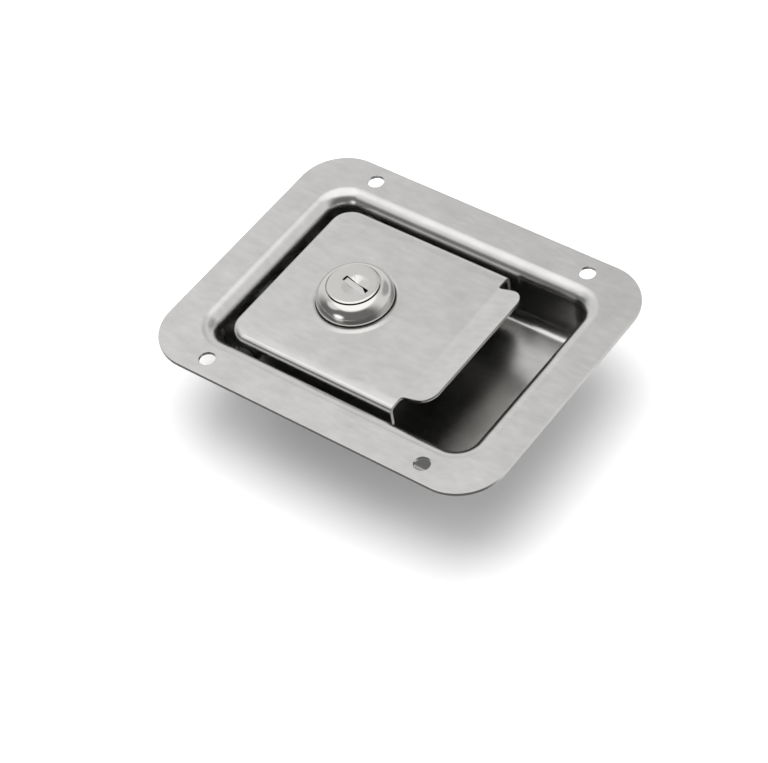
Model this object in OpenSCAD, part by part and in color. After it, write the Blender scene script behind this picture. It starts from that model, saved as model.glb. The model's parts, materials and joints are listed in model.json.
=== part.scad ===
// Locking paddle handle for a flush mounted door latch.
// X runs from the hinge end (-X) to the finger end (+X), Y across, Z out of the door.
// The origin is the centre of the four mounting holes, on the back face of the plate.

/* [Mounting plate] */
// Length of the plate
plate_l = 120.6; // [118:0.2:134]
// Width of the plate
plate_w = 95.2; // [92:0.2:106]
// Plan radius of the plate corners
plate_corner_r = 15; // [10:0.5:19]
// Thickness of the drawn sheet and of the paddle sheet
sheet_t = 1.2; // [1:0.1:1.5]
// Spacing of the mounting holes along the plate
mount_pitch_x = 77.2; // [68:0.2:84]
// Spacing of the mounting holes across the plate
mount_pitch_y = 83.2; // [81:0.2:84]
// Diameter of the mounting holes
mount_hole_d = 5; // [4:0.1:5.4]

/* [Pan] */
// Clear length between the end walls of the pan
pan_l = 91.4; // [89.4:0.2:93]
// Clear width between the side walls of the pan
pan_w = 64.2; // [62:0.2:65.2]
// Depth from the face of the plate to the pan floor
pan_depth = 19.2; // [18.6:0.2:22]
// Radius of the rolled lip, on the visible side
lip_r = 5; // [3.5:0.25:5.5]
// Plan radius of the pan corners
pan_corner_r = 6; // [5:0.5:9]
// Radius between the walls and the pan floor
floor_r = 4; // [2.5:0.25:4.5]

/* [Paddle] */
// Gap between the hinge end of the paddle and the end wall
end_gap = 3.6; // [3:0.1:4.2]
// Gap between each paddle skirt and the side wall
side_gap = 2.1; // [1.6:0.05:2.5]
// How far the paddle lies below the face of the plate
paddle_drop = 0.7; // [0:0.1:1.2]
// Length of the skirted part of the paddle
paddle_l = 60.9; // [58:0.1:63]
// Plan radius of the two corners at the hinge end
paddle_corner_r = 7; // [5:0.5:8]
// Outside radius of the fold between the top and the skirts
fold_r = 2.2; // [1.8:0.1:2.6]
// Depth of the skirts
skirt_depth = 10.5; // [9.5:0.25:11.5]
// Width of the finger tongue
tongue_w = 48.5; // [42:0.5:50]
// Reach of the tongue past the skirts
tongue_reach = 10.2; // [8:0.1:11]
// Plan radius of the tongue corners
tongue_corner_r = 5; // [3:0.5:6.5]
// Upward angle of the tongue
tongue_angle = 18; // [6:0.5:20]
// How far the paddle swings open, in degrees
paddle_swing = 40; // [30:1:42]

/* [Hinge] */
// Diameter of the hinge pin
pin_d = 4; // [3.5:0.1:4.2]
// Distance of the hinge axis from the hinge end of the paddle
hinge_inset = 8.1; // [7.6:0.1:8.6]
// Depth of the hinge axis below the paddle top
hinge_drop = 6.5; // [6.2:0.1:7]
// Running clearance of turning pieces, on the radius
run_gap = 0.07; // [0.05:0.01:0.1]
// Wire diameter of the paddle return spring
paddle_wire_d = 1; // [0.8:0.1:1.1]
// Number of turns of the paddle return spring
paddle_turns = 5; // [3:1:6]

/* [Drive arm] */
// Backward lean of the arm at rest, in degrees
arm_lean = 16; // [14:0.5:18]
// Width of the arm
arm_w = 8; // [6:0.5:8.5]
// Thickness of the arm
arm_t = 3.4; // [3:0.1:3.6]
// Radius of the round end of the arm
arm_tip_r = 3; // [2.5:0.1:3.2]

/* [Latch bolt] */
// Width of the bolt
bolt_w = 16; // [15:0.5:18]
// Height of the bolt
bolt_h = 11; // [10.4:0.2:13]
// Reach of the bolt nose past the plate edge
bolt_reach = 11.7; // [6:0.1:12]
// Length of the slam bevel on the nose
bevel_l = 12; // [8:0.5:13]
// Sliding clearance of the bolt on each side
slide_gap = 0.3; // [0.2:0.05:0.4]
// Thickness of the housing sheet
housing_t = 1.5; // [1.2:0.1:2]
// Inside radius of the housing folds
housing_fold_r = 1; // [0.6:0.1:1.5]
// Width of each riveted foot of the housing
foot_w = 9; // [8.5:0.5:10]
// Diameter of the rivet shanks
rivet_d = 3.2; // [2.8:0.1:3.6]
// Diameter of the rivet heads
rivet_head_d = 6.4; // [5.6:0.1:7]
// Outside diameter of the bolt spring
bolt_spring_d = 8; // [7:0.1:8.4]
// Wire diameter of the bolt spring
bolt_wire_d = 0.9; // [0.7:0.1:1]
// Number of turns of the bolt spring
bolt_turns = 12; // [9:1:13]

/* [Lock] */
// Distance of the lock axis from the hinge end of the paddle
lock_inset = 26.5; // [25.5:0.1:27.5]
// Diameter of the domed lock head
head_d = 23.6; // [22.6:0.1:25]
// Height of the lock head above the paddle
head_h = 5.45; // [5:0.05:6]
// Diameter of the visible face of the plug
plug_face_d = 15.7; // [15:0.1:16.4]
// Gap round the plug face
face_gap = 0.33; // [0.25:0.01:0.45]
// How far the plug face stands proud of the head
plug_proud = 0.6; // [0:0.05:0.8]
// Diameter of the plug body
plug_d = 13; // [12.6:0.1:13.4]
// Diameter of the lock barrel
barrel_d = 19; // [18.4:0.1:19.4]
// Distance across the two flats of the barrel
barrel_flats = 16.5; // [16:0.1:17.4]
// Length of the barrel below the paddle top
barrel_l = 11.1; // [10.6:0.1:11.6]
// Length of the key slot
key_slot_l = 9.4; // [8:0.1:9.6]
// Width of the key slot
key_slot_w = 2.1; // [1.8:0.05:2.2]
// Angle of the key slot from the X axis, in degrees
key_slot_angle = -11; // [-12:1:12]
// How far the middle of the key slot lies from the lock axis, along the slot
key_slot_shift = 1; // [0:0.1:1.1]
// Reach of the cam from the lock axis
cam_reach = 14; // [13:0.25:15]
// Width of the cam
cam_w = 12; // [10:0.5:13]
// Thickness of the cam
cam_t = 1.6; // [1.4:0.1:1.8]

/* [Hidden] */
$fn = 96;
eps = 0.01;
steel = [0.78, 0.77, 0.75];
bright = [0.86, 0.86, 0.87];
zinc = [0.70, 0.71, 0.73];
dark = [0.42, 0.43, 0.45];
nylon = [0.10, 0.10, 0.10];

// Heights, measured from the back face of the plate
floor_top = sheet_t - pan_depth;
floor_back = floor_top - sheet_t;
paddle_top = sheet_t - paddle_drop;
paddle_under = paddle_top - sheet_t;
bolt_top = floor_back - slide_gap;
bolt_bottom = bolt_top - bolt_h;
channel_floor = bolt_bottom - slide_gap;

// Places along X
paddle_back = end_gap - pan_l / 2;
skirt_end = paddle_back + paddle_l;
lock_x = paddle_back + lock_inset;
hinge_x = paddle_back + hinge_inset;
hinge_z = paddle_top - hinge_drop;

// The arm and the travel that it gives the bolt
arm_tip_z = bolt_bottom + 0.4 * bolt_h;
arm_l = (hinge_z - arm_tip_z) / cos(arm_lean);
arm_tip_x = hinge_x - arm_l * sin(arm_lean);
bolt_travel = arm_l * (sin(arm_lean) + sin(paddle_swing - arm_lean));
drive_gap = 0.3;
arm_hub_r = pin_d / 2 + 2.1;

// The slot in the pan floor that the arm swings in
slot_clear = 0.7;
arm_half = arm_t / 2 / cos(arm_lean);
slot_x0 = hinge_x - (hinge_z - floor_back) * tan(arm_lean) - arm_half - slot_clear;
slot_x1 = hinge_x + (hinge_z - floor_back) * tan(paddle_swing - arm_lean)
          + arm_t / 2 / cos(paddle_swing - arm_lean) + slot_clear;
slot_w = arm_w + 9;

// The bolt, its lost motion window and its spring
nose_x = -plate_l / 2 - bolt_reach;
window_x1 = arm_tip_x + arm_tip_r + drive_gap;
window_x0 = arm_tip_x - arm_tip_r - bolt_travel - drive_gap;
window_w = arm_w + 0.8;
web_t = 4.6;
spring_bore_x = window_x1 + web_t;
spring_bore_l = 16;
spring_bore_d = bolt_spring_d + 1;
bolt_tail = spring_bore_x + spring_bore_l;
bolt_mid_z = bolt_bottom + bolt_h / 2;

// The housing under the pan
housing_front = nose_x + bolt_travel + 7.7;
housing_tail = bolt_tail + bolt_travel + 5.4;
channel_half = bolt_w / 2 + slide_gap;
foot_end = channel_half + housing_t + foot_w;
rivet_y = foot_end - rivet_head_d / 2 - 1;
rivet_x0 = rivet_head_d / 2 + 0.7 + floor_r - pan_l / 2;
rivet_x1 = housing_tail - 6;
foot_front = rivet_x0 - rivet_head_d / 2 - 0.4;
guide_d = bolt_spring_d - 2 * bolt_wire_d - 1;
guide_l = 18;
guide_shank_d = 3;
guide_head_h = 1;

// The lock stack, from the barrel end down
barrel_end = paddle_top - barrel_l;
head_top = paddle_top + head_h;
plug_face_z = head_top + plug_proud;
face_flange_t = 2.4;
stop_t = 1;
stack_gap = 0.1;
stop_top = barrel_end - 0.3;
cam_top = stop_top - stop_t - stack_gap;
cam_bottom = cam_top - cam_t;
cam_washer_t = 0.8;
screw_head_h = 1.9;
tail_af = 7.5;
tail_d = 9.5;
screw_d = 4;
thread_end = barrel_end + 1.4;
washer_t = 0.9;
nut_t = 3.6;
nut_af = barrel_d + 3.5;
plug_front = plug_face_d / 2;
stop_tab_half = 8;
stop_d = barrel_flats + 0.5;

// The keeper that holds the cam
keeper_t = 1.5;
keeper_gap = 0.8;
keeper_w = 15;
keeper_in = barrel_d / 2 + 1.1;
keeper_out = cam_reach + 3;
keeper_foot = 8.6;
keeper_under = cam_top + keeper_gap;

// The dust shutter and the wafers behind it
shutter_t = 0.5;
shutter_depth = 0.6;
shutter_gap = 0.12;
shutter_rod_r = 0.4;
pocket_h = 2.3;
scoop_r = 4.2;
scoop_depth = 0.7;
wafer_t = 1;
wafer_pitch = 1.9;
wafer_count = 5;
wafer_w = 5.4;
wafer_top = paddle_top + 1;

// A rectangle with round corners, centred
module plan_rect(l, w, r) {
    square([l - 2 * r, w], center = true);
    square([l, w - 2 * r], center = true);
    for (x = [-1, 1], y = [-1, 1]) translate([x * (l / 2 - r), y * (w / 2 - r)]) circle(r);
}

// A quarter of a ring, in the first quadrant
module quarter_ring(outer, inner) {
    intersection() {
        difference() {
            circle(outer);
            circle(inner);
        }
        square(outer);
    }
}

// Sweeps a profile round a rounded rectangle; its x is measured outward from the corner centres
module sweep_round(l, w, r) {
    for (i = [0:3]) {
        half = (i % 2 == 0 ? l : w) / 2 - r;
        run = (i % 2 == 0 ? w : l) - 2 * r;
        rotate([0, 0, 90 * i]) translate([half, run / 2, 0]) {
            rotate([90, 0, 0]) linear_extrude(run) children();
            rotate_extrude(angle = 90) children();
        }
    }
}

// Lays a profile drawn in X and Z across the part, centred on Y
module across(width) {
    translate([0, width / 2, 0]) rotate([90, 0, 0]) linear_extrude(width) children();
}

// A cylinder along Y, centred on Y
module pin_bore(d, length) {
    rotate([90, 0, 0]) cylinder(d = d, h = length, center = true);
}

// A flanged rivet: a domed head on top, the shank, and the set end below
module rivet(grip) {
    dome_r = rivet_head_d * 0.65;
    dome_h = 1.5;
    intersection() {
        translate([0, 0, dome_h - dome_r]) sphere(dome_r);
        cylinder(d = rivet_head_d, h = dome_h);
    }
    translate([0, 0, -grip - 1.2]) cylinder(d = rivet_d, h = grip + 1.2);
    translate([0, 0, -grip - 1.2]) cylinder(d1 = rivet_d + 1, d2 = rivet_d + 2, h = 1.2);
}

// The part of the lip, wall and floor radius that lies beyond the corner centres
module pan_wall_profile() {
    r = pan_corner_r;
    translate([r + lip_r, sheet_t - lip_r]) rotate(90) quarter_ring(lip_r, lip_r - sheet_t);
    translate([r, floor_top + floor_r]) square([sheet_t, pan_depth - floor_r - lip_r]);
    translate([r - floor_r, floor_top + floor_r]) rotate(-90)
        quarter_ring(floor_r + sheet_t, floor_r);
}

module pan() {
    color(steel) difference() {
        union() {
            linear_extrude(sheet_t) difference() {
                plan_rect(plate_l, plate_w, plate_corner_r);
                plan_rect(pan_l + 2 * lip_r, pan_w + 2 * lip_r, pan_corner_r + lip_r);
                for (x = [-1, 1], y = [-1, 1])
                    translate([x * mount_pitch_x / 2, y * mount_pitch_y / 2])
                        circle(d = mount_hole_d);
            }
            sweep_round(pan_l, pan_w, pan_corner_r) pan_wall_profile();
            translate([0, 0, floor_back]) linear_extrude(sheet_t)
                plan_rect(pan_l - 2 * floor_r, pan_w - 2 * floor_r, pan_corner_r - floor_r);
        }
        translate([(slot_x0 + slot_x1) / 2, 0, floor_back - 1]) linear_extrude(sheet_t + 2)
            plan_rect(slot_x1 - slot_x0, slot_w, 2);
        translate([hinge_x, 0, hinge_z]) pin_bore(pin_d + 0.1, plate_w);
        for (p = concat(housing_rivet_places(), keeper_rivet_places()))
            translate([p[0], p[1], floor_back - 1]) cylinder(d = rivet_d, h = sheet_t + 2);
    }
}

function housing_rivet_places() = [for (x = [rivet_x0, rivet_x1], y = [-1, 1]) [x, y * rivet_y]];
function keeper_rivet_places() =
    [for (x = [-1, 1]) [lock_x + x * (keeper_w / 2 - 3.6), keeper_out + keeper_t + keeper_foot / 2 + 0.6]];

// Section of the folded channel and its feet, drawn in Y and Z
module channel_profile() {
    r = housing_fold_r;
    t = housing_t;
    for (side = [0, 1]) mirror([side, 0]) {
        translate([-eps, channel_floor - t]) square([channel_half - r + eps, t]);
        translate([channel_half - r, channel_floor + r]) rotate(-90) quarter_ring(r + t, r);
        translate([channel_half, channel_floor + r])
            square([t, floor_back - t - 2 * r - channel_floor]);
        translate([channel_half + t + r, floor_back - t - r]) rotate(90) quarter_ring(r + t, r);
        translate([channel_half + t + r, floor_back - t]) square([foot_w - r, t]);
    }
}

module latch_housing() {
    r = housing_fold_r;
    t = housing_t;
    tab_w = 2 * channel_half - 1;
    color(zinc) difference() {
        union() {
            translate([housing_front, 0, 0]) rotate([90, 0, 90])
                linear_extrude(housing_tail - housing_front - t - r) channel_profile();
            across(tab_w) {
                translate([housing_tail - t - 2 * r, channel_floor - t]) square([r + eps, t]);
                translate([housing_tail - t - r, channel_floor + r]) rotate(-90)
                    quarter_ring(r + t, r);
                translate([housing_tail - t, channel_floor + r])
                    square([t, floor_back - 0.5 - channel_floor - r]);
            }
        }
        // In front of the pan floor the walls stand alone, cut off level below the feet
        translate([housing_front - 1, -foot_end - 1, floor_back - t - r])
            cube([foot_front - housing_front + 1, 2 * foot_end + 2, t + r + 1]);
        translate([housing_tail - t - 1, 0, bolt_mid_z]) rotate([0, 90, 0])
            cylinder(d = guide_shank_d + 0.1, h = t + 2);
        for (p = housing_rivet_places())
            translate([p[0], p[1], floor_back - t - 1]) cylinder(d = rivet_d, h = t + 2);
    }
}

module housing_rivets() {
    color(bright) for (p = housing_rivet_places())
        translate([p[0], p[1], floor_top]) rivet(sheet_t + housing_t);
}

module keeper_rivets() {
    color(bright) for (p = keeper_rivet_places())
        translate([p[0], p[1], floor_top + keeper_t]) rivet(sheet_t + keeper_t);
}

// A folded bracket: a foot on the pan floor, a leg, and a tab over the path of the cam
module lock_keeper() {
    r = 1;
    t = keeper_t;
    top = keeper_under + t;
    foot_y = keeper_out + t + r;
    color(zinc) difference() {
        translate([lock_x - keeper_w / 2, 0, 0]) rotate([90, 0, 90]) linear_extrude(keeper_w) {
            translate([keeper_in, keeper_under]) square([keeper_out - r - keeper_in, t]);
            translate([keeper_out - r, keeper_under - r]) quarter_ring(r + t, r);
            translate([keeper_out, floor_top + t + r])
                square([t, keeper_under - floor_top - t - 2 * r]);
            translate([foot_y, floor_top + t + r]) rotate(180) quarter_ring(r + t, r);
            translate([foot_y, floor_top]) square([keeper_foot - r, t]);
        }
        for (p = keeper_rivet_places())
            translate([p[0], p[1], floor_top - 1]) cylinder(d = rivet_d, h = t + 2);
    }
}

pan_outer = pan_w / 2 + sheet_t;
clip_t = 0.8;
clip_y = pan_outer + 0.3;
pin_head_y = pan_outer + 0.15;
groove_r = pin_d / 2 - 0.4;
pin_head_h = 1.5;

module hinge_pin() {
    color(bright) translate([hinge_x, 0, hinge_z]) rotate([-90, 0, 0]) difference() {
        union() {
            translate([0, 0, -pin_head_y]) cylinder(d = pin_d, h = pin_head_y + pan_outer + 2.2);
            translate([0, 0, -pin_head_y - pin_head_h]) cylinder(d = pin_d + 2, h = pin_head_h);
        }
        translate([0, 0, clip_y]) difference() {
            cylinder(d = pin_d + 1, h = clip_t);
            translate([0, 0, -eps]) cylinder(r = groove_r, h = clip_t + 2 * eps);
        }
    }
}

// An open retaining clip with three inner lands
module pin_clip() {
    color(dark) translate([hinge_x, clip_y + 0.02, hinge_z]) rotate([-90, 0, 0])
        linear_extrude(clip_t - 0.04) difference() {
            circle(r = pin_d / 2 + 1.5);
            circle(r = groove_r);
            translate([-groove_r, 0]) square([2 * groove_r, pin_d]);
            for (a = [-30, 210]) rotate(a) translate([pin_d / 2 + 0.2, 0]) circle(r = 0.55);
        }
}

module pin_washers() {
    color(nylon) for (side = [-1, 1])
        translate([hinge_x, side * (pan_w / 2 - side_gap / 2), hinge_z]) rotate([90, 0, 0])
            difference() {
                cylinder(d = pin_d + 2.4, h = side_gap - 0.3, center = true);
                cylinder(d = pin_d + 0.3, h = side_gap + 1, center = true);
            }
}

// Rings of a wire along a path of [x, y, z, heading], the heading being in the XZ plane
function wire_rings(path, r, sides) = [
    for (p = path) for (k = [0:sides - 1])
        let (a = 360 * k / sides, n = r * cos(a))
        [p[0] - n * sin(p[3]), p[1] + r * sin(a), p[2] + n * cos(p[3])]
];

function tube_faces(rings, sides) = concat(
    [[for (k = [0:sides - 1]) k]],
    [for (i = [0:rings - 2], k = [0:sides - 1])
        let (a = i * sides + k, b = i * sides + (k + 1) % sides)
        [b, a, a + sides, b + sides]],
    [[for (k = [sides - 1:-1:0]) (rings - 1) * sides + k]]
);

module wire(path, r, sides = 8) {
    polyhedron(wire_rings(path, r, sides), tube_faces(len(path), sides), convexity = 10);
}

paddle_coil_r = hinge_drop - sheet_t - paddle_wire_d / 2 - 0.2;
paddle_coil_pitch = paddle_wire_d * 1.15;
paddle_coil_y = arm_w / 2 + 2.4;
paddle_coil_end = -paddle_turns * 360 - 120;
lower_leg_heading = 240;

// The coil runs round the pin from the leg under the paddle to the leg on the pan floor
function paddle_spring_path() =
    let (
        r = paddle_coil_r,
        top = hinge_z + r,
        last_y = paddle_coil_y - paddle_coil_end / 360 * paddle_coil_pitch,
        leave = [hinge_x + r * cos(90 + paddle_coil_end), hinge_z + r * sin(90 + paddle_coil_end)],
        run = (leave[1] - floor_top - paddle_wire_d / 2 - 0.1) / -sin(lower_leg_heading)
    )
    concat(
        [[paddle_back + sheet_t + 1, paddle_coil_y, top, 0]],
        [for (a = [0:-15:paddle_coil_end])
            [hinge_x + r * cos(90 + a), paddle_coil_y - a / 360 * paddle_coil_pitch,
             hinge_z + r * sin(90 + a), a]],
        [[leave[0] + run * cos(lower_leg_heading), last_y,
          leave[1] + run * sin(lower_leg_heading), lower_leg_heading]]
    );

module paddle_spring() {
    color(dark) wire(paddle_spring_path(), paddle_wire_d / 2);
}

// Fold and skirt beyond the corner centres
module skirt_profile() {
    r = paddle_corner_r;
    translate([r - fold_r, paddle_top - fold_r]) quarter_ring(fold_r, fold_r - sheet_t);
    translate([r - sheet_t, paddle_top - skirt_depth])
        square([sheet_t, skirt_depth - fold_r]);
}

crease_r = 4;
crease_x = skirt_end + 0.1;
tongue_front = skirt_end + tongue_reach;
paddle_w = pan_w - 2 * side_gap;

// Section of the flat top and the raised tongue, drawn in X and Z
module top_profile() {
    rise = tongue_angle;
    translate([paddle_back, paddle_under]) square([crease_x - paddle_back, sheet_t]);
    translate([crease_x, paddle_top + crease_r]) {
        intersection() {
            difference() {
                circle(crease_r + sheet_t, $fn = 360);
                circle(crease_r, $fn = 360);
            }
            rotate(-90) polygon([[0, 0], [20, 0], [20 * cos(rise), 20 * sin(rise)]]);
        }
        rotate(rise) translate([0, -crease_r - sheet_t]) square([2 * tongue_reach, sheet_t]);
    }
}

// Outline of the top from above: the skirted part, the tongue and the two inner corners
module top_outline() {
    inner = 0.9;
    length = skirt_end - paddle_back;
    intersection() {
        translate([paddle_back + length, 0])
            plan_rect(2 * length - 2 * fold_r, paddle_w - 2 * fold_r, paddle_corner_r - fold_r);
        translate([paddle_back, -pan_w / 2]) square([length, pan_w]);
    }
    translate([skirt_end, 0]) intersection() {
        plan_rect(2 * tongue_reach, tongue_w, tongue_corner_r);
        translate([-1, -tongue_w / 2]) square([tongue_reach + 1, tongue_w]);
    }
    for (side = [-1, 1]) translate([skirt_end, side * tongue_w / 2]) difference() {
        translate([-eps, side > 0 ? -eps : -inner]) square([inner, inner + eps]);
        translate([inner, side * inner]) circle(inner);
    }
}

module paddle() {
    length = skirt_end - paddle_back;
    color(steel) difference() {
        union() {
            intersection() {
                translate([0, 0, paddle_under - 2]) linear_extrude(12) top_outline();
                across(pan_w) top_profile();
            }
            intersection() {
                translate([skirt_end, 0, 0]) sweep_round(2 * length, paddle_w, paddle_corner_r)
                    skirt_profile();
                translate([paddle_back - 1, -pan_w / 2, paddle_top - skirt_depth - 1])
                    cube([length + 1, pan_w, skirt_depth + 2]);
            }
        }
        translate([hinge_x, 0, hinge_z]) pin_bore(pin_d + 2 * run_gap, pan_w);
        translate([lock_x, 0, paddle_under - 1]) linear_extrude(sheet_t + 2)
            double_flat(barrel_d + 0.2, barrel_flats + 0.2);
        // The lower corner of each skirt is rounded at the finger end
        translate([skirt_end, 0, paddle_top - skirt_depth]) across(pan_w) difference() {
            translate([-4, -1]) square([5, 5]);
            translate([-4, 4]) circle(4);
        }
    }
}

// A round with two flats, the flats facing Y
module double_flat(d, flats) {
    intersection() {
        circle(d = d);
        square([d + 1, flats], center = true);
    }
}

// A lever welded under the paddle, with an eye on the hinge pin and a round end in the bolt
module drive_arm() {
    base_t = 1.6;
    base_x0 = paddle_back + sheet_t + 1.4;
    base_x1 = lock_x - nut_af / cos(30) / 2 - 0.5;
    color(zinc) difference() {
        across(arm_w) {
            translate([base_x0, paddle_under - base_t]) square([base_x1 - base_x0, base_t]);
            translate([hinge_x, hinge_z]) circle(arm_hub_r);
            translate([hinge_x - arm_hub_r * 0.8, hinge_z])
                square([arm_hub_r * 1.6, paddle_under - base_t - hinge_z + eps]);
            translate([hinge_x, hinge_z]) rotate(-90 - arm_lean) {
                translate([0, -arm_t / 2]) square([arm_l, arm_t]);
                translate([arm_l, 0]) circle(arm_tip_r);
            }
        }
        translate([hinge_x, 0, hinge_z]) pin_bore(pin_d + 2 * run_gap, arm_w + 2);
    }
}

// Section of the head: one round dome from the plug bore down to its widest place, then tucked in
module head_section() {
    dome_r = 5;
    widest_z = 0.65;
    bore = plug_front + face_gap;
    middle = head_d / 2 - dome_r;
    dome_h = (head_h - widest_z) / sqrt(1 - pow((bore - middle) / dome_r, 2));
    intersection() {
        translate([middle, widest_z]) scale([1, dome_h / dome_r]) circle(dome_r, $fn = 72);
        translate([bore, 0]) square([head_d / 2 - bore, head_h]);
    }
    translate([plug_d / 2 + run_gap, 0])
        square([bore + 0.5 - plug_d / 2 - run_gap, head_h + plug_proud - face_flange_t - 0.2]);
}

module lock_body() {
    bore = plug_d + 2 * run_gap;
    color(bright) translate([lock_x, 0, 0]) difference() {
        union() {
            translate([0, 0, paddle_top]) rotate_extrude() head_section();
            translate([0, 0, barrel_end]) linear_extrude(barrel_l + 1)
                double_flat(barrel_d, barrel_flats);
        }
        translate([0, 0, barrel_end - 1]) cylinder(d = bore, h = barrel_l + head_h);
        // The recess that lets the stop tab swing a quarter turn
        translate([0, 0, barrel_end - eps]) rotate([0, 0, -45 - stop_tab_half - 2])
            rotate_extrude(angle = 90 + 2 * stop_tab_half + 4)
                translate([plug_d / 2 - 1, 0]) square([3.2, 1.3]);
    }
}

module lock_washer() {
    color(bright) translate([lock_x, 0, paddle_under - washer_t]) linear_extrude(washer_t)
        difference() {
            circle(d = nut_af + 1.5);
            circle(d = barrel_d + 0.3);
            for (a = [0:30:359]) rotate(a) translate([nut_af / 2 + 1.2, 0]) circle(d = 2.4);
        }
}

module lock_nut() {
    color(zinc) translate([lock_x, 0, paddle_under - washer_t - nut_t]) intersection() {
        linear_extrude(nut_t) difference() {
            circle(d = nut_af / cos(30), $fn = 6);
            circle(d = barrel_d + 0.1);
        }
        rotate_extrude() polygon([[0, 0], [nut_af / 2, 0], [nut_af / 2 + 1.6, 0.9],
                                  [nut_af / 2 + 1.6, nut_t], [0, nut_t]]);
    }
}

module plug_section() {
    chamfer_w = 0.65;
    chamfer_h = 0.3;
    top = plug_face_z;
    polygon([[0, barrel_end - 0.2], [plug_d / 2, barrel_end - 0.2],
             [plug_d / 2, top - face_flange_t], [plug_front, top - face_flange_t],
             [plug_front, top - chamfer_h], [plug_front - chamfer_w, top], [0, top]]);
}

module tail_section() {
    intersection() {
        circle(d = tail_d);
        square([tail_d, tail_af], center = true);
    }
}

shutter_z = plug_face_z - shutter_depth - shutter_t;
shutter_axis_y = -key_slot_w / 2 + shutter_rod_r;

module lock_plug() {
    color(bright) translate([lock_x, 0, 0]) difference() {
        union() {
            rotate_extrude() plug_section();
            translate([0, 0, cam_bottom + 0.1]) linear_extrude(barrel_end - cam_bottom)
                tail_section();
        }
        rotate([0, 0, key_slot_angle]) {
            // The key slot and keyway, the wider room under the shutter, and the scoop in the face
            translate([key_slot_shift, 0, 0]) {
                translate([0, 0, wafer_top - wafer_count * wafer_pitch]) linear_extrude(40)
                    plan_rect(key_slot_l, key_slot_w, 0.3);
                translate([0, 0, shutter_z - 0.15 - pocket_h]) linear_extrude(pocket_h)
                    square([key_slot_l + 0.3, key_slot_w + 0.8], center = true);
                translate([0, 0, plug_face_z - scoop_depth])
                    cylinder(r1 = 0, r2 = 2 * scoop_r, h = 2 * scoop_depth);
            }
            for (i = [0:wafer_count - 1])
                translate([-plug_d, -wafer_w / 2 - 0.1, wafer_top - wafer_t - i * wafer_pitch - 0.1])
                    cube([2 * plug_d, wafer_w + 0.2, wafer_t + 0.2]);
        }
        translate([0, 0, cam_bottom - 1]) cylinder(d = screw_d, h = thread_end - cam_bottom + 1);
    }
}

module lock_wafers() {
    color("goldenrod") translate([lock_x, 0, 0]) rotate([0, 0, key_slot_angle])
        for (i = [0:wafer_count - 1])
            translate([0, 0, wafer_top - wafer_t - i * wafer_pitch]) linear_extrude(wafer_t)
                difference() {
                    intersection() {
                        circle(r = plug_d / 2 - 0.05);
                        square([plug_d, wafer_w], center = true);
                    }
                    translate([key_slot_shift, 0])
                        square([key_slot_l - 0.6, key_slot_w], center = true);
                }
}

// A sprung flap on a rod along one side of the key slot, with one corner cut away
module dust_shutter() {
    rod_l = key_slot_l - 0.1;
    x0 = 0.35 - key_slot_l / 2;
    x1 = key_slot_l / 2 - 0.25;
    reach = key_slot_w - shutter_rod_r - 2 * shutter_gap;
    color(bright) translate([lock_x, 0, 0]) rotate([0, 0, key_slot_angle])
        translate([key_slot_shift, shutter_axis_y, shutter_z]) {
            linear_extrude(shutter_t)
                polygon([[x0, 0], [x1, 0], [x1, reach - 1], [x1 - 2.2, reach], [x0, reach]]);
            translate([-rod_l / 2, 0, shutter_t - shutter_rod_r]) rotate([0, 90, 0])
                cylinder(r = shutter_rod_r, h = rod_l);
        }
}

// A washer keyed on the plug tail, with a tab that runs in the recess of the barrel
module stop_plate() {
    color(zinc) translate([lock_x, 0, stop_top - stop_t]) {
        linear_extrude(stop_t) difference() {
            circle(d = stop_d);
            tail_hole();
        }
        rotate([0, 0, 45 - stop_tab_half]) rotate_extrude(angle = 2 * stop_tab_half)
            translate([plug_d / 2 + 0.5, stop_t - eps]) square([1.3, 1.1]);
    }
}

module tail_hole() {
    intersection() {
        circle(d = tail_d + 0.1);
        square([tail_d + 1, tail_af + 0.1], center = true);
    }
}

// At rest the cam points to the hinge; a quarter turn of the key puts it under the keeper
module lock_cam() {
    tip_w = cam_w - 3;
    color(bright) translate([lock_x, 0, cam_bottom]) linear_extrude(cam_t) difference() {
        union() {
            circle(d = cam_w + 2);
            translate([-cam_reach + tip_w / 2, -tip_w / 2]) square([cam_reach, tip_w]);
            translate([-cam_reach + tip_w / 2, 0]) intersection() {
                circle(d = tip_w + 4);
                translate([-tip_w / 2, -tip_w / 2]) square(tip_w);
            }
        }
        tail_hole();
        translate([cam_w / 2 - 0.5, -cam_w]) square([cam_w, 2 * cam_w]);
    }
}

module cam_washer() {
    color(bright) translate([lock_x, 0, cam_bottom - cam_washer_t]) difference() {
        cylinder(d = tail_d + 1.4, h = cam_washer_t);
        translate([0, 0, -1]) cylinder(d = screw_d + 0.3, h = cam_washer_t + 2);
    }
}

module cam_screw() {
    head_bottom = cam_bottom - cam_washer_t - screw_head_h;
    color(zinc) translate([lock_x, 0, head_bottom]) difference() {
        union() {
            intersection() {
                cylinder(d = 7.6, h = screw_head_h);
                translate([0, 0, 5.2]) sphere(5.5);
            }
            cylinder(d = screw_d, h = thread_end - 0.3 - head_bottom);
        }
        for (a = [0, 90]) rotate([0, 0, a]) translate([-2, -0.45, -1]) cube([4, 0.9, 2]);
    }
}

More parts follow.
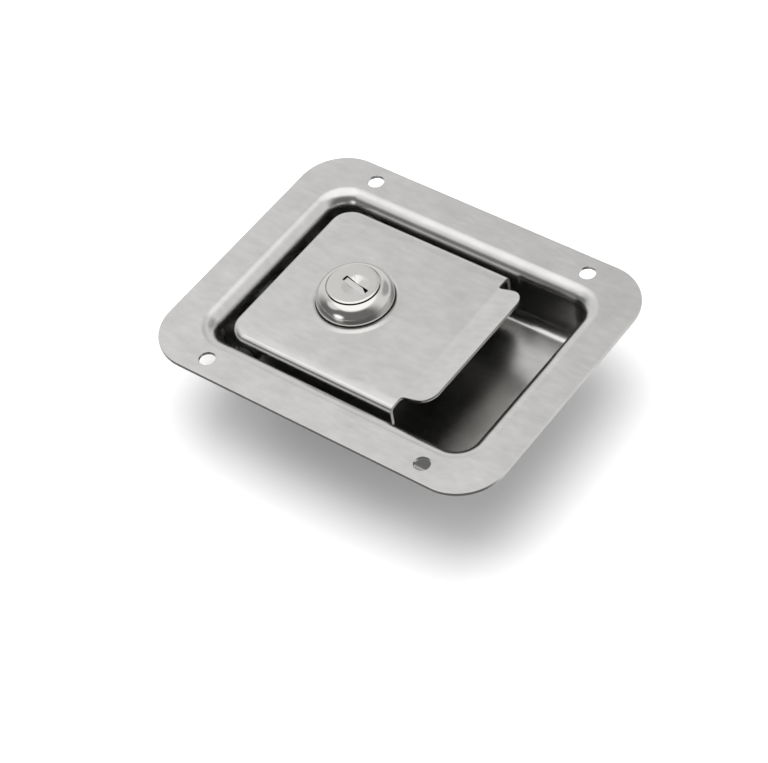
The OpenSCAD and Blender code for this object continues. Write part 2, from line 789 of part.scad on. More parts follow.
module latch_bolt() {
    nose_flat = 2;
    top_r = 0.8;
    color(zinc) difference() {
        across(bolt_w) difference() {
            translate([nose_x, bolt_bottom]) square([bolt_tail - nose_x, bolt_h]);
            polygon([[nose_x - eps, bolt_bottom - eps], [nose_x + bevel_l, bolt_bottom - eps],
                     [nose_x - eps, bolt_top - nose_flat]]);
            translate([nose_x, bolt_top]) difference() {
                translate([-1, -top_r]) square(1 + top_r);
                translate([top_r, -top_r]) circle(top_r);
            }
        }
        translate([(window_x0 + window_x1) / 2, 0, bolt_bottom - 1]) linear_extrude(bolt_h + 2)
            plan_rect(window_x1 - window_x0, window_w, 1);
        // The end of the window that the arm drives leans back to clear its shank
        across(window_w) polygon([
            [window_x1 - 1, arm_tip_z + 1], [window_x1, arm_tip_z + 1],
            [window_x1 + (bolt_top - arm_tip_z) * tan(arm_lean + 4), bolt_top + eps],
            [window_x1 - 1, bolt_top + eps]]);
        translate([spring_bore_x, 0, bolt_mid_z]) rotate([0, 90, 0])
            cylinder(d = spring_bore_d, h = spring_bore_l + 1);
    }
}

bolt_coil_r = (bolt_spring_d - bolt_wire_d) / 2;
bolt_spring_l = housing_tail - housing_t - spring_bore_x - bolt_wire_d - 0.2;
closed_turns = 1.5;

// Share of the spring length at a turn count, with closed coils at both ends
function coil_advance(n, turns, length, wire_d) =
    let (open = (length - 2 * closed_turns * wire_d) / (turns - 2 * closed_turns))
    n < closed_turns ? n * wire_d
    : n > turns - closed_turns ? length - (turns - n) * wire_d
    : closed_turns * wire_d + (n - closed_turns) * open;

module bolt_spring() {
    steps = 14;
    sides = 7;
    rings = bolt_turns * steps + 1;
    points = [for (i = [0:rings - 1]) let (
            a = 360 * i / steps,
            x = coil_advance(i / steps, bolt_turns, bolt_spring_l, bolt_wire_d))
        for (k = [0:sides - 1]) let (
            b = 360 * k / sides,
            r = bolt_coil_r + bolt_wire_d / 2 * cos(b))
        [x + bolt_wire_d / 2 * sin(b), r * cos(a), r * sin(a)]];
    color(dark) translate([spring_bore_x + bolt_wire_d / 2 + 0.1, 0, bolt_mid_z])
        polyhedron(points, tube_faces(rings, sides), convexity = 10);
}

// A rod that carries the spring, riveted into the end tab of the housing
module spring_guide() {
    color(bright) translate([housing_tail - housing_t, 0, bolt_mid_z]) rotate([0, 90, 0]) {
        translate([0, 0, -guide_l]) cylinder(d = guide_d, h = guide_l);
        cylinder(d = guide_shank_d, h = housing_t + guide_head_h);
        translate([0, 0, housing_t])
            cylinder(d1 = guide_shank_d + 2.4, d2 = guide_shank_d + 1, h = guide_head_h);
        translate([0, 0, -guide_l - 1.2]) cylinder(d1 = guide_d - 2, d2 = guide_d, h = 1.2);
    }
}

pan();
latch_housing();
housing_rivets();
lock_keeper();
keeper_rivets();
hinge_pin();
pin_clip();
pin_washers();
paddle_spring();
paddle();
drive_arm();
lock_body();
lock_washer();
lock_nut();
lock_plug();
lock_wafers();
dust_shutter();
stop_plate();
lock_cam();
cam_washer();
cam_screw();
latch_bolt();
bolt_spring();
spring_guide();
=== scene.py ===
"""Locking paddle handle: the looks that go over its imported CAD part.

X runs from the hinge end to the finger end, Y across, Z out of the door. Sizes are metres.
"""
import json
import math

import bmesh
import bpy
from mathutils import Matrix, Vector


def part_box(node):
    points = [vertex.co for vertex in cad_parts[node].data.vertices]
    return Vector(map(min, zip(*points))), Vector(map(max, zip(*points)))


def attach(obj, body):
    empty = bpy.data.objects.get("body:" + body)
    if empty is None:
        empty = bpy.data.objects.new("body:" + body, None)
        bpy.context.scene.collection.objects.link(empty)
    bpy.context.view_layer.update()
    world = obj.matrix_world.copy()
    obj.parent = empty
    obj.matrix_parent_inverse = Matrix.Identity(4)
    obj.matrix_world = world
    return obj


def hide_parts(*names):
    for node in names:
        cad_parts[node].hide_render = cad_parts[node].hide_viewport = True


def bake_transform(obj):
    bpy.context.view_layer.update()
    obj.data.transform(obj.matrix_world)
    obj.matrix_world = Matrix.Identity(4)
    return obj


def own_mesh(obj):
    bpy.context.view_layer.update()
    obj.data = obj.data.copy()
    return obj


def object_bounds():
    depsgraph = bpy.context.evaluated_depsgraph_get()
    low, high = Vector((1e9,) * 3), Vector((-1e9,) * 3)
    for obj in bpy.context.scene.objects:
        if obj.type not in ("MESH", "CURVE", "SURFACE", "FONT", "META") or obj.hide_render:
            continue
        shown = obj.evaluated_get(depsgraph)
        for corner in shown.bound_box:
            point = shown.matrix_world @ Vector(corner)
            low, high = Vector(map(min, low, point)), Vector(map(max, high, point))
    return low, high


MM = 0.001

# The camera, as it stood for the photograph, with its lens and sensor in millimetres
LOOK_AT = Vector((0.010859, -0.021912, 0.0))
CAMERA_DISTANCE = 0.742592
CAMERA_AZIMUTH = math.radians(44.126)
CAMERA_ELEVATION = math.radians(48.281)
CAMERA_ROLL = math.radians(-10.494)
CAMERA_LENS = 122.06
CAMERA_SENSOR = 36
CAMERA_NEAR, CAMERA_FAR = 0.02, 20

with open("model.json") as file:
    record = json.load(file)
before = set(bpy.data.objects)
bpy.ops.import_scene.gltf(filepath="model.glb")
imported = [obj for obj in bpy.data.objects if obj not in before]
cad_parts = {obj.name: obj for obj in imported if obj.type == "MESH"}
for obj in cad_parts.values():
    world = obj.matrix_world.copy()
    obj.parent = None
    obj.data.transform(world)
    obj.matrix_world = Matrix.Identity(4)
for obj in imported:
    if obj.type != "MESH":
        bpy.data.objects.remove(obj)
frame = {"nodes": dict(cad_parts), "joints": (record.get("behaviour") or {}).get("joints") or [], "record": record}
cad_low, cad_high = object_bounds()
NODES = frame["nodes"]
FLOOR_Z = cad_low[2] - 0.2 * MM


def in_scene(name, data):
    """An object in the scene for a mesh, a camera or a lamp."""
    placed = bpy.data.objects.new(name, data)
    bpy.context.scene.collection.objects.link(placed)
    return placed


def make_camera():
    camera = in_scene("camera", bpy.data.cameras.new("camera"))
    a, e = CAMERA_AZIMUTH, CAMERA_ELEVATION
    back = Vector((math.sin(a) * math.cos(e), -math.cos(a) * math.cos(e), math.sin(e)))
    level = Vector((math.cos(a), math.sin(a), 0))
    upward = back.cross(level)
    right = level * math.cos(CAMERA_ROLL) + upward * math.sin(CAMERA_ROLL)
    up = back.cross(right)
    turn = Matrix((right, up, back)).transposed().to_4x4()
    camera.matrix_world = Matrix.Translation(LOOK_AT + back * CAMERA_DISTANCE) @ turn
    camera.data.sensor_width = CAMERA_SENSOR
    camera.data.lens = CAMERA_LENS
    camera.data.clip_start = CAMERA_NEAR
    camera.data.clip_end = CAMERA_FAR
    bpy.context.scene.camera = camera


make_camera()


# Shader nodes

def new_material(name):
    material = bpy.data.materials.new(name)
    material.use_nodes = True
    tree = material.node_tree
    shader = next(n for n in tree.nodes if n.type == "BSDF_PRINCIPLED")
    return material, tree, shader


def place(tree, kind, inputs=None, **settings):
    """Adds a node. An input is a plain value, or the output of another node."""
    node = tree.nodes.new(kind)
    for key, value in settings.items():
        setattr(node, key, value)
    for key, value in (inputs or {}).items():
        if isinstance(value, bpy.types.NodeSocket):
            tree.links.new(value, node.inputs[key])
        else:
            node.inputs[key].default_value = value
    return node


def worked_out(tree, operation, *values):
    """The result of a Math node."""
    return place(tree, "ShaderNodeMath", dict(enumerate(values)), operation=operation).outputs[0]


def mixed_values(tree, share, first, second):
    """A value that goes from the first to the second as the share goes from 0 to 1."""
    return place(tree, "ShaderNodeMix", {0: share, 2: first, 3: second},
                 data_type="FLOAT").outputs[0]


def mixed_colours(tree, share, first, second):
    return place(tree, "ShaderNodeMix", {0: share, 6: first, 7: second},
                 data_type="RGBA").outputs[2]


def group_socket(tree, name, direction, kind, value=None):
    socket = tree.interface.new_socket(name, in_out=direction, socket_type=kind)
    if value is not None:
        socket.default_value = value


def make_rolled_grain():
    """Rolled sheet: soft mottling, faint lines along the rolling direction and a fine tooth."""
    line_scale, tooth_scale = 160.0, 2600.0
    lines_in_tone, tooth_in_height = 0.45, 0.35
    tree = bpy.data.node_groups.new("rolled grain", "ShaderNodeTree")
    group_socket(tree, "Mottle scale", "INPUT", "NodeSocketFloat", 60.0)
    group_socket(tree, "Line stretch", "INPUT", "NodeSocketFloat", 1.0)
    group_socket(tree, "Roughness", "INPUT", "NodeSocketFloat", 0.3)
    group_socket(tree, "Roughness spread", "INPUT", "NodeSocketFloat", 0.06)
    group_socket(tree, "Light tone", "INPUT", "NodeSocketColor", (0.6, 0.6, 0.6, 1))
    group_socket(tree, "Dark tone", "INPUT", "NodeSocketColor", (0.5, 0.5, 0.5, 1))
    group_socket(tree, "Color", "OUTPUT", "NodeSocketColor")
    group_socket(tree, "Roughness", "OUTPUT", "NodeSocketFloat")
    group_socket(tree, "Height", "OUTPUT", "NodeSocketFloat")
    entry = tree.nodes.new("NodeGroupInput")
    leave = tree.nodes.new("NodeGroupOutput")
    coords = place(tree, "ShaderNodeTexCoord")
    mottle = place(tree, "ShaderNodeTexNoise", {
        "Vector": coords.outputs["Object"], "Scale": entry.outputs["Mottle scale"],
        "Detail": 4.0, "Roughness": 0.55})
    stretch = place(tree, "ShaderNodeCombineXYZ", {
        "X": 1.0, "Y": entry.outputs["Line stretch"], "Z": entry.outputs["Line stretch"]})
    along = place(tree, "ShaderNodeVectorMath", {
        0: coords.outputs["Object"], 1: stretch.outputs[0]}, operation="MULTIPLY")
    lines = place(tree, "ShaderNodeTexNoise", {
        "Vector": along.outputs[0], "Scale": line_scale, "Detail": 3.0, "Roughness": 0.6})
    tooth = place(tree, "ShaderNodeTexNoise", {
        "Vector": coords.outputs["Object"], "Scale": tooth_scale, "Detail": 2.0,
        "Roughness": 0.5})
    pattern = mixed_values(tree, lines_in_tone, mottle.outputs["Fac"], lines.outputs["Fac"])
    tone = mixed_colours(
        tree, pattern, entry.outputs["Dark tone"], entry.outputs["Light tone"])
    centred = worked_out(tree, "SUBTRACT", pattern, 0.5)
    roughness = worked_out(tree, "MULTIPLY_ADD", centred, entry.outputs["Roughness spread"],
                           entry.outputs["Roughness"])
    height = mixed_values(tree, tooth_in_height, lines.outputs["Fac"], tooth.outputs["Fac"])
    tree.links.new(tone, leave.inputs["Color"])
    tree.links.new(roughness, leave.inputs["Roughness"])
    tree.links.new(height, leave.inputs["Height"])
    return tree


ROLLED_GRAIN = make_rolled_grain()
ROUGHNESS_SPREAD = 0.06
GRAIN_DEPTH = 0.05 * MM


def grained(name, light, dark, roughness, mottle=60.0, stretch=1.0, bump=0.05, metallic=1.0,
            gloss=0.5):
    """A material that varies by the grain between a light and a dark tone."""
    material, tree, shader = new_material(name)
    grain = place(tree, "ShaderNodeGroup", node_tree=ROLLED_GRAIN)
    grain.inputs["Mottle scale"].default_value = mottle
    grain.inputs["Line stretch"].default_value = stretch
    grain.inputs["Roughness"].default_value = roughness
    grain.inputs["Roughness spread"].default_value = ROUGHNESS_SPREAD
    grain.inputs["Light tone"].default_value = (*light, 1)
    grain.inputs["Dark tone"].default_value = (*dark, 1)
    relief = place(tree, "ShaderNodeBump", {
        "Height": grain.outputs["Height"], "Strength": bump, "Distance": GRAIN_DEPTH})
    tree.links.new(grain.outputs["Color"], shader.inputs["Base Color"])
    tree.links.new(grain.outputs["Roughness"], shader.inputs["Roughness"])
    tree.links.new(relief.outputs["Normal"], shader.inputs["Normal"])
    shader.inputs["Metallic"].default_value = metallic
    shader.inputs["Specular IOR Level"].default_value = gloss
    return material


SATIN_STEEL = grained("satin stainless", (0.74, 0.73, 0.717), (0.47, 0.464, 0.455), 0.24,
                      mottle=105.0, stretch=3.0, bump=0.08)
LOCK_CASE = grained("satin plated die casting", (0.67, 0.66, 0.64), (0.61, 0.60, 0.585), 0.15)
ZINC = grained("clear zinc plate", (0.62, 0.64, 0.66), (0.50, 0.52, 0.55), 0.36, mottle=180.0)
RIVET = grained("rivet steel", (0.64, 0.64, 0.64), (0.56, 0.56, 0.56), 0.28)
PIN = grained("ground pin steel", (0.62, 0.615, 0.61), (0.56, 0.555, 0.55), 0.24)
SPRING = grained("drawn spring wire", (0.36, 0.36, 0.37), (0.26, 0.26, 0.27), 0.34)
BRASS = grained("stamped brass", (0.74, 0.55, 0.26), (0.66, 0.48, 0.22), 0.32)
CASTING = grained("plated bolt casting", (0.58, 0.59, 0.60), (0.47, 0.48, 0.49), 0.4, mottle=220.0)
NYLON = grained("black nylon", (0.018, 0.018, 0.018), (0.013, 0.013, 0.013), 0.6,
                metallic=0.0, gloss=0.2)

FINISH = {
    "satin_stainless": SATIN_STEEL, "satin_lock_case": LOCK_CASE, "zinc_plated_steel": ZINC,
    "rivet_steel": RIVET, "bright_pin_steel": PIN, "spring_steel": SPRING,
    "wafer_brass": BRASS, "cast_bolt": CASTING, "black_nylon": NYLON}
SLOT_OF = {part["node"]: part["material_slot"] for part in frame["record"]["subparts"]}
BODY_OF = {node: body for body, members in frame["record"]["behaviour"]["bodies"].items()
           for node in members}

for node, slot_name in SLOT_OF.items():
    NODES[node].data.materials.clear()
    NODES[node].data.materials.append(FINISH[slot_name])


# Meshes

# Points closer than this are one
SAME_POINT = 0.001 * MM

# Angles between two faces, from one flat face to two that lie back to back
FLAT_WITHIN = math.radians(0.4)
SHARP_FROM = math.radians(34)
CREASE_FROM = math.radians(50)
FOLDED_FROM = 2.7

# How wide each node's broken edges are, in millimetres
EDGE_WIDTHS = {
    "pan": 0.16, "paddle": 0.16, "latch_housing": 0.15, "lock_keeper": 0.15, "hinge_pin": 0.15,
    "pin_clip": 0.08, "pin_washers": 0.1, "drive_arm": 0.2, "lock_body": 0.08,
    "lock_washer": 0.08, "lock_nut": 0.12, "lock_plug": 0.07, "lock_wafers": 0.05,
    "dust_shutter": 0.05, "stop_plate": 0.1, "lock_cam": 0.15, "cam_washer": 0.08,
    "cam_screw": 0.08, "latch_bolt": 0.25, "spring_guide": 0.1}

# Here only the edges in the sides of the node's box are broken
BOX_EDGES_ONLY = ("latch_bolt",)


def in_finish(name, mesh, slot_name):
    """A piece in the finish of a slot."""
    piece = in_scene(name, mesh)
    mesh.materials.clear()
    mesh.materials.append(FINISH[slot_name])
    return piece


def new_piece(name, mesh, node):
    """A piece that stands for a CAD node, in the finish of that node's slot."""
    piece = in_finish(name, mesh, SLOT_OF[node])
    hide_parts(node)
    return piece


def follow(piece, node):
    """The piece moves as the node does."""
    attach(piece, BODY_OF[node])


def extra_piece(name, mesh, body, slot_name):
    """A piece that the CAD part leaves out."""
    piece = in_finish(name, mesh, slot_name)
    for face in mesh.polygons:
        face.use_smooth = True
    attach(piece, body)


def baked(piece):
    """The piece with its modifiers applied to its mesh."""
    bpy.context.view_layer.update()
    graph = bpy.context.evaluated_depsgraph_get()
    mesh = bpy.data.meshes.new_from_object(
        piece.evaluated_get(graph), preserve_all_data_layers=True, depsgraph=graph)
    piece.modifiers.clear()
    piece.data = mesh
    return piece


def merged(node):
    """The node's loose triangles joined, with its flat faces whole again."""
    work = bmesh.new()
    work.from_mesh(NODES[node].data)
    bmesh.ops.remove_doubles(work, verts=work.verts, dist=2 * SAME_POINT)
    bmesh.ops.dissolve_degenerate(work, edges=work.edges, dist=SAME_POINT)
    bmesh.ops.recalc_face_normals(work, faces=work.faces)
    bmesh.ops.dissolve_limit(work, angle_limit=FLAT_WITHIN, verts=work.verts, edges=work.edges)
    return work


def cut_across(work, point, direction):
    """Adds edges where a plane crosses the piece, so that its faces can bend there."""
    everything = list(work.verts) + list(work.edges) + list(work.faces)
    bmesh.ops.bisect_plane(work, geom=everything, dist=SAME_POINT, plane_co=point,
                           plane_no=direction)


def folded_edges(work):
    """How many edges have faces that lie nearly back to back."""
    return sum(1 for e in work.edges
               if len(e.link_faces) == 2 and e.calc_face_angle(0) > FOLDED_FROM)


def on_box_side(edge, low, high):
    """True where the edge lies in one of the six sides of a box."""
    return any(all(abs(v.co[axis] - side[axis]) < SAME_POINT for v in edge.verts)
               for axis in range(3) for side in (low, high))


def break_edges(work, width, box=None):
    """Takes the sharp outer edges off, as tumbling does, and by less where a face would fold over.
    With a box, only the edges in its sides."""
    shares = (1.0, 0.7, 0.5, 0.35, 0.2)
    before = folded_edges(work)
    for share in shares:
        trial = work.copy()
        edges = [e for e in trial.edges if len(e.link_faces) == 2 and e.is_convex
                 and e.calc_face_angle(0) > SHARP_FROM
                 and (box is None or on_box_side(e, *box))]
        bmesh.ops.bevel(trial, geom=edges, offset=width * share * MM, offset_type="OFFSET",
                        segments=2, profile=0.5, affect="EDGES", clamp_overlap=False)
        if folded_edges(trial) <= before:
            work.free()
            return trial
        trial.free()
    return work


def shade(piece):
    """Smooth shading in which the large faces keep their own direction."""
    for face in piece.data.polygons:
        face.use_smooth = True
    work = bmesh.new()
    work.from_mesh(piece.data)
    for edge in work.edges:
        edge.smooth = edge.calc_face_angle(0) < CREASE_FROM
    work.to_mesh(piece.data)
    work.free()
    weighted = piece.modifiers.new("shading", "WEIGHTED_NORMAL")
    weighted.weight = 60
    weighted.keep_sharp = True
    return baked(piece)


def finish_node(node, width, reshape=None):
    """Puts a copy with broken edges in the place of a CAD node."""
    work = merged(node)
    if reshape:
        reshape(work)
    work = break_edges(work, width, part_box(node) if node in BOX_EDGES_ONLY else None)
    mesh = bpy.data.meshes.new(node + "_finished")
    work.to_mesh(mesh)
    work.free()
    follow(shade(new_piece(node + "_finished", mesh, node)), node)


def rings_mesh(name, *strips, close_ends=True):
    """Each strip is a list of rings of points, joined in turn with four-sided faces."""
    points, faces = [], []
    for rings in strips:
        count = len(rings[0])
        first = len(points)
        last = first + (len(rings) - 1) * count
        points += [p for ring in rings for p in ring]
        for start in range(first, last, count):
            for k in range(count):
                a, b = start + k, start + (k + 1) % count
                faces.append((a, b, b + count, a + count))
        if close_ends:
            faces.append(tuple(range(first + count - 1, first - 1, -1)))
            faces.append(tuple(range(last, last + count)))
    mesh = bpy.data.meshes.new(name)
    mesh.from_pydata(points, [], faces)
    work = bmesh.new()
    work.from_mesh(mesh)
    bmesh.ops.remove_doubles(work, verts=work.verts, dist=SAME_POINT)
    bmesh.ops.recalc_face_normals(work, faces=work.faces)
    work.to_mesh(mesh)
    work.free()
    return mesh


def lathe(name, profile, sides):
    """Turns a profile of (radius, height) about Z."""
    rings = [[Vector((r * math.cos(math.tau * k / sides), r * math.sin(math.tau * k / sides), z))
              for k in range(sides)] for r, z in profile]
    return rings_mesh(name, rings, close_ends=False)


def wire_mesh(name, path, radius):
    """A round wire along a path, with its ends cut square."""
    sides = 12
    rings = []
    side = None
    for i, point in enumerate(path):
        ahead = (path[min(i + 1, len(path) - 1)] - path[max(i - 1, 0)]).normalized()
        if side is None:
            side = ahead.orthogonal()
        side = (side - ahead * side.dot(ahead)).normalized()
        other = ahead.cross(side)
        rings.append([point + radius * (side * math.cos(math.tau * k / sides)
                                        + other * math.sin(math.tau * k / sides))
                      for k in range(sides)])
    return rings_mesh(name, rings)


# Sizes of the CAD part that its frame doesn't give

SHEET = 1.2 * MM
FLAP_TO_SLOT_MIDDLE = 0.65 * MM
NUT_OVER_BARREL = 3.5 * MM
BARREL_FLAT_Y = 8.25 * MM
RIVET_HEAD_R = 3.2 * MM
RIVET_SHANK_R = 1.6 * MM
RIVET_DOME_H = 1.5 * MM
RIVET_END_H = 1.2 * MM


# Places taken from the frame

JOINTS = {joint["name"]: joint for joint in frame["joints"]}
HINGE = Vector(JOINTS["paddle_hinge"]["pos_m"])
LOCK = Vector(JOINTS["plug_turn"]["pos_m"])
FLAP = Vector(JOINTS["shutter_flap"]["pos_m"])
SLOT_ALONG = Vector(JOINTS["shutter_flap"]["axis"])
SLOT_ACROSS = Vector((SLOT_ALONG.y, -SLOT_ALONG.x, 0))
SLOT_MIDDLE = FLAP + SLOT_ACROSS * FLAP_TO_SLOT_MIDDLE
PADDLE_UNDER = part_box("lock_washer")[1].z
PADDLE_TOP = PADDLE_UNDER + SHEET
PLUG_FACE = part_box("lock_plug")[1].z
BARREL_R = (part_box("lock_nut")[1].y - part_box("lock_nut")[0].y - NUT_OVER_BARREL) / 2


# Forms too slight for the CAD part

THREAD_DEPTH = 0.4 * MM
THREAD_PITCH = 1.0 * MM


def close_shutter(work):
    """The flap stands nearly level with the plug face and reaches the far side of the slot."""
    past_rod, lift, longer, at_length = 0.3 * MM, 0.15 * MM, 0.08 * MM, 1.5 * MM
    for vert in work.verts:
        out = (vert.co - FLAP).dot(SLOT_ACROSS)
        if out > past_rod:
            vert.co.z += lift
            vert.co += SLOT_ACROSS * min(1.0, out / at_length) * longer


def round_scoop(work):
    """The cone at the key slot becomes a round dish, deeper on the far side of the slot."""
    reach, cone_depth, dish_depth, near_share = 4.2 * MM, 0.7 * MM, 1.0 * MM, 0.3
    least_tilt, most_tilt, on_cone, cuts = 0.97, 0.994, 0.02 * MM, 5
    cone = {f for f in work.faces if least_tilt < f.normal.z < most_tilt
            and f.calc_center_median().z > PLUG_FACE - cone_depth}
    inside = [e for e in work.edges if e.link_faces and all(f in cone for f in e.link_faces)]
    bmesh.ops.subdivide_edges(work, edges=inside, cuts=cuts, use_grid_fill=True)
    for vert in work.verts:
        away = Vector((vert.co.x - SLOT_MIDDLE.x, vert.co.y - SLOT_MIDDLE.y, 0))
        inward = 1 - away.length / reach
        cone_z = PLUG_FACE - cone_depth * inward
        if inward > 0 and abs(vert.co.z - cone_z) < on_cone:
            depth = dish_depth if away.dot(SLOT_ACROSS) > 0 else near_share * dish_depth
            vert.co.z = PLUG_FACE - depth * inward ** 2


def crown_paddle(work):
    """The top falls away a little before the folds of the two skirts."""
    band, fall, fold, cuts = 2.6 * MM, 0.13 * MM, 2.2 * MM, 6
    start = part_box("paddle")[1].y - fold - band
    for i in range(cuts + 1):
        for way in (-1, 1):
            cut_across(work, (0, way * (start + band * i / cuts), 0), (0, way, 0))
    for vert in work.verts:
        share = min(1.0, max(0.0, (abs(vert.co.y) - start) / band))
        vert.co.z -= fall * share * share


def turn_down_barrel(work):
    """The barrel is turned down to the root of its thread below the paddle, by a short slope."""
    slope_top, slope_foot, between, on_barrel = 0.1 * MM, 0.25 * MM, 0.2 * MM, 0.02 * MM
    for depth in (slope_top, slope_foot):
        cut_across(work, (0, 0, PADDLE_UNDER - depth), (0, 0, 1))
    root = BARREL_R - THREAD_DEPTH
    for vert in work.verts:
        away = Vector((vert.co.x - LOCK.x, vert.co.y, 0))
        if vert.co.z < PADDLE_UNDER - between and away.length > BARREL_R - on_barrel:
            across = min(abs(away.y), BARREL_FLAT_Y)
            along = math.sqrt(root * root - across * across)
            vert.co.x = LOCK.x + math.copysign(along, away.x)
            vert.co.y = math.copysign(across, away.y)


RESHAPES = {"dust_shutter": close_shutter, "lock_plug": round_scoop, "paddle": crown_paddle,
            "lock_body": turn_down_barrel}

for node, width in EDGE_WIDTHS.items():
    finish_node(node, width, RESHAPES.get(node))


def make_barrel_thread():
    """Ridges that climb round the barrel, cut away at the two flats."""
    end_margin, sunk, crest_clear, flat_clear = 0.8 * MM, 0.2 * MM, 0.02 * MM, 0.03 * MM
    half_root, half_crest = 0.48 * THREAD_PITCH, 0.06 * THREAD_PITCH
    half_steps, arc_margin = 14, math.radians(0.5)
    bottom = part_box("lock_body")[0].z + end_margin
    top = PADDLE_UNDER - end_margin
    root, crest = BARREL_R - THREAD_DEPTH - sunk, BARREL_R - crest_clear
    flat = BARREL_FLAT_Y - flat_clear
    reach = math.asin(flat / root) - arc_margin
    section = ((root, -half_root), (crest, -half_crest), (crest, half_crest), (root, half_root))
    arcs = []
    for half_turn in range(int((top - bottom) / THREAD_PITCH * 2) + 1):
        rings = []
        for i in range(-half_steps, half_steps + 1):
            a = math.pi * half_turn + reach * i / half_steps
            z = bottom + THREAD_PITCH * a / math.tau
            rings.append([
                Vector((LOCK.x + radius * math.cos(a),
                        max(-flat, min(flat, radius * math.sin(a))), z + lift))
                for radius, lift in section])
        arcs.append(rings)
    extra_piece("barrel_thread", rings_mesh("barrel_thread", *arcs), "paddle",
                "satin_lock_case")


def make_raised_seat():
    """The sheet round the lock, pressed up a little on the side towards the finger end and -Y."""
    inner, crest, outer, lift = 11.0 * MM, 12.9 * MM, 14.7 * MM, 0.17 * MM
    depth, rim_depth, margin, rim_sink = 0.1 * MM, 0.004 * MM, 0.3 * MM, 0.008 * MM
    steps, sides, least_share = 24, 128, 0.05
    foot = PADDLE_TOP - depth
    profile = [(inner, foot), (inner, PADDLE_TOP + lift)]
    for i in range(steps + 1):
        share = i / steps
        fall = share * share * (3 - 2 * share)
        profile.append((crest + (outer - crest) * share,
                        PADDLE_TOP + lift * (1 - fall) - rim_depth * fall))
    profile += [(outer + margin, PADDLE_TOP - rim_sink), (outer + margin, foot), (inner, foot)]
    mesh = lathe("raised_seat", profile, sides)
    for vert in mesh.vertices:
        near_side = (vert.co.x - vert.co.y) / math.hypot(vert.co.x, vert.co.y) / math.sqrt(2)
        share = max(0.0, near_side) ** 2
        if vert.co.z > PADDLE_TOP:
            rise = least_share + (1 - least_share) * share
            vert.co.z = PADDLE_TOP + (vert.co.z - PADDLE_TOP) * rise
    mesh.transform(Matrix.Translation((LOCK.x, LOCK.y, 0)))
    extra_piece("raised_seat", mesh, "paddle", "satin_stainless")


def make_gasket_and_shade_ring():
    """A thin black ring under the lock head: partly a gasket, partly painted shade for the dark contact line where
    the head meets the paddle.
    """
    foot_r = (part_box("lock_body")[1].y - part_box("lock_body")[0].y) / 2
    inner, sides = foot_r - 0.4 * MM, 128
    outline = ((inner, 0.0), (foot_r + 0.08 * MM, 0.0), (foot_r + 0.1 * MM, 0.15 * MM),
               (foot_r + 0.06 * MM, 0.32 * MM), (inner, 0.36 * MM), (inner, 0.0))
    mesh = lathe("sealing_ring", [(r, PADDLE_TOP + height) for r, height in outline], sides)
    mesh.transform(Matrix.Translation((LOCK.x, LOCK.y, 0)))
    extra_piece("sealing_ring", mesh, "paddle", "black_nylon")


# Springs

def round_the_wire(spring):
    """Smooth sides, with the cut ends left flat."""
    for face in spring.data.polygons:
        face.use_smooth = len(face.vertices) == 4


def make_paddle_spring():
    """From the leg under the paddle, round the pin, to the leg on the pan floor."""
    low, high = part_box("paddle_spring")
    wire_r, turns, step = 0.5 * MM, 5 + 1 / 3, math.radians(7.5)
    upper_steps, lower_steps, lower_slope = 8, 6, math.radians(30)
    radius = high.z - wire_r - HINGE.z
    first_y, last_y = low.y + wire_r, high.y - wire_r
    path = [Vector((low.x + i * (HINGE.x - low.x) / upper_steps, first_y, HINGE.z + radius))
            for i in range(upper_steps)]
    for i in range(int(turns * math.tau / step) + 1):
        a = i * step
        path.append(Vector((HINGE.x + radius * math.sin(a),
                            first_y + (last_y - first_y) * a / (turns * math.tau),
                            HINGE.z + radius * math.cos(a))))
    leave = path[-1]
    a = turns * math.tau
    heading = Vector((math.cos(a), 0, -math.sin(a)))
    run = (leave.z - low.z - wire_r * math.cos(lower_slope)) / -heading.z
    path += [leave + heading * run * i / lower_steps for i in range(1, lower_steps + 1)]
    spring = new_piece("paddle_spring_wire", wire_mesh("paddle_spring_wire", path, wire_r),
                       "paddle_spring")
    round_the_wire(spring)
    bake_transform(spring)


def make_bolt_spring():
    """A compression spring with closed coils at both ends."""
    low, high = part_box("bolt_spring")
    wire_r, turns, closed, steps_a_turn = 0.45 * MM, 12, 1.5, 36
    wire_d = 2 * wire_r
    centre_z = (low.z + high.z) / 2
    radius = (high.y - low.y) / 2 - wire_r
    length = high.x - low.x - 2 * wire_r
    open_pitch = (length - 2 * closed * wire_d) / (turns - 2 * closed)

    def advance(n):
        if n < closed:
            return n * wire_d
        if n > turns - closed:
            return length - (turns - n) * wire_d
        return closed * wire_d + (n - closed) * open_pitch

    path = []
    for i in range(turns * steps_a_turn + 1):
        a = math.tau * i / steps_a_turn
        path.append(Vector((low.x + wire_r + advance(i / steps_a_turn),
                            radius * math.cos(a), centre_z + radius * math.sin(a))))
    spring = new_piece("bolt_spring_wire", wire_mesh("bolt_spring_wire", path, wire_r),
                       "bolt_spring")
    round_the_wire(spring)
    follow(spring, "bolt_spring")
    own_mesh(spring)


# Pieces that repeat, set out on points by Geometry Nodes

